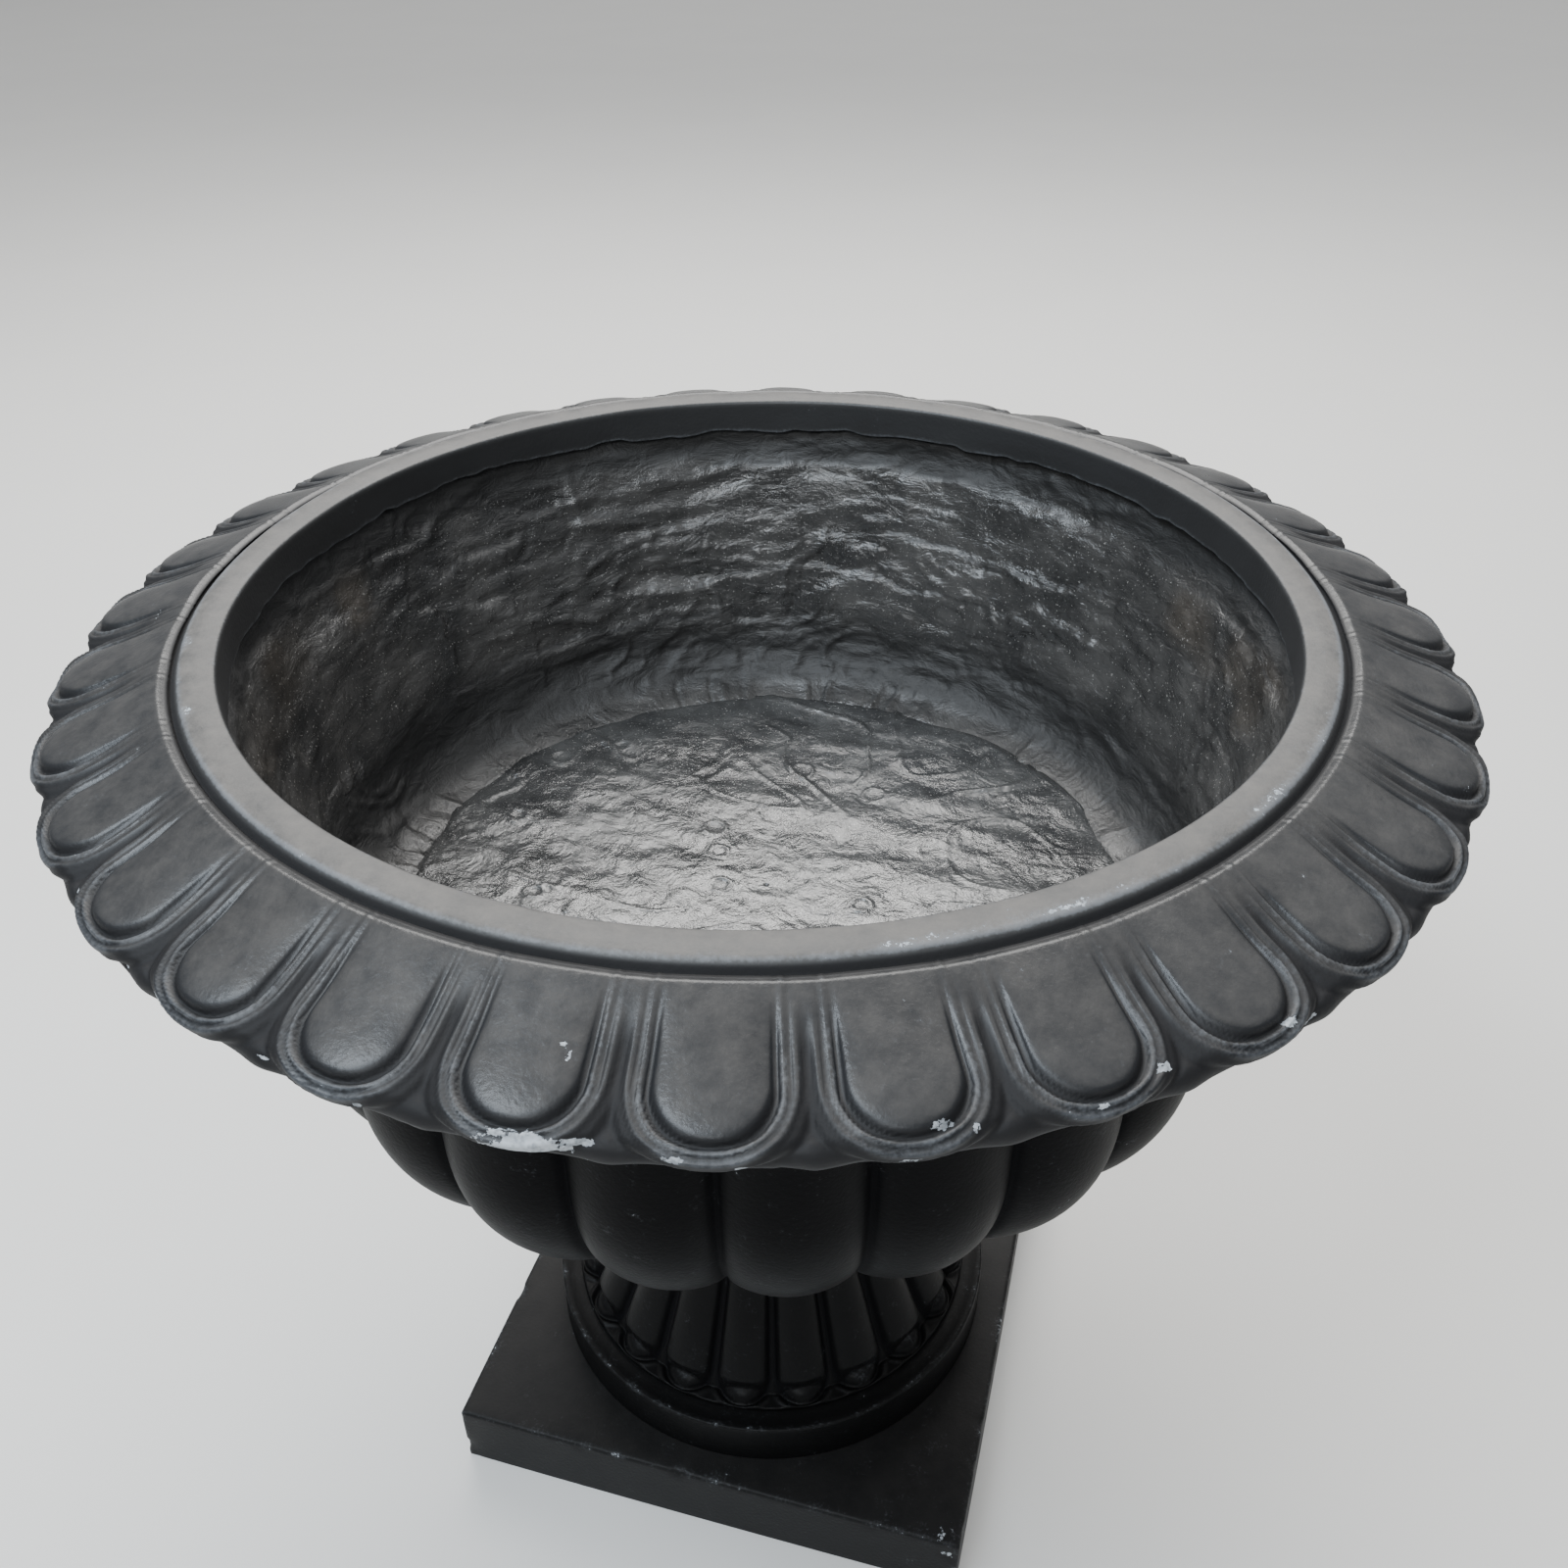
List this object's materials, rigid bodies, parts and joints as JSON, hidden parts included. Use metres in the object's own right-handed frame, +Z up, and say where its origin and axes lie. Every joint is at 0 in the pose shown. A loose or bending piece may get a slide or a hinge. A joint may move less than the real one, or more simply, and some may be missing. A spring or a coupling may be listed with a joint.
{
  "type": "urn planter",
  "caption": "Round pedestal urn planter with a petalled drooping rim, a lobed bowl, a fluted foot and a square plinth.",
  "frame": {"origin": "centre of the square plinth's underside, on the ground", "axes": "+Z up along the urn's centre line; X and Y square to the plinth's sides"},
  "size_m": [0.7136, 0.7136, 0.6032],
  "materials": {
    "black_paint": "satin charcoal-black paint over pale glass-fibre laminate, chipped and rubbed along the edges",
    "bare_laminate": "glossy hand-laid resin and glass mat, wrinkled, tinted near black, dusty",
    "laid_floor": "lumpy dark grey resin with a silvery sheen",
    "zinc_steel": "dull zinc plating"
  },
  "bodies": {
    "root": {"rim_moulding": "black_paint", "bowl_shell": "black_paint", "bowl_lining": "bare_laminate", "floor_panel": "laid_floor", "neck_collar": "black_paint", "foot_shell": "black_paint", "foot_disc": "black_paint", "plinth": "black_paint", "tie_rod": "zinc_steel", "top_plate": "zinc_steel", "bottom_plate": "zinc_steel", "tie_washers": "zinc_steel", "tie_nuts": "zinc_steel"}
  },
  "joints": []
}
